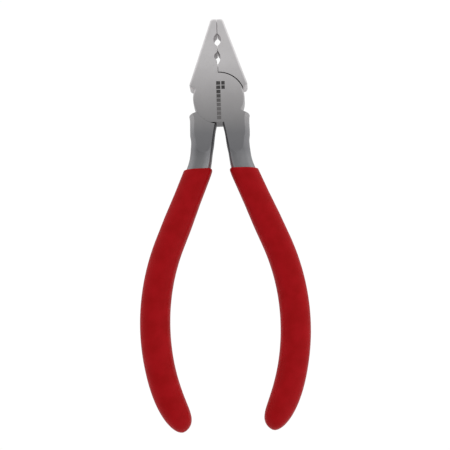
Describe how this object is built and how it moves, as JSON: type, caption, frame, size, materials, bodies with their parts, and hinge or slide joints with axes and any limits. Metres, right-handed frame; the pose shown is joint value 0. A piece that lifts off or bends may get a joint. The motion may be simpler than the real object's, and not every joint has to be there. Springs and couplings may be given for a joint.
{
  "type": "jewellery crimping pliers",
  "caption": "Small lap-joint pliers with tapering jaws, notches that fold and round crimp beads, and dipped PVC grips.",
  "frame": {"origin": "on the rivet's axis, in the plane of the joint's back face, which the pliers lie on", "axes": "+Z along the rivet from the back face to the front face, +Y from the rivet to the tips of the jaws, +X to the right as seen from above"},
  "size_m": [0.0536, 0.1302, 0.0092],
  "materials": {
    "steel": "satin",
    "pvc": "semi-gloss"
  },
  "bodies": {
    "rear": {"rear_half": "steel", "left_grip": "pvc"},
    "front": {"front_half": "steel", "pivot_rivet": "steel", "right_grip": "pvc"}
  },
  "joints": [
    {"name": "pivot", "type": "hinge", "parent": "rear", "child": "front", "pos_m": [0, 0, 0.0046], "axis": [0, 0, 1], "range_deg": [0, 50]}
  ]
}
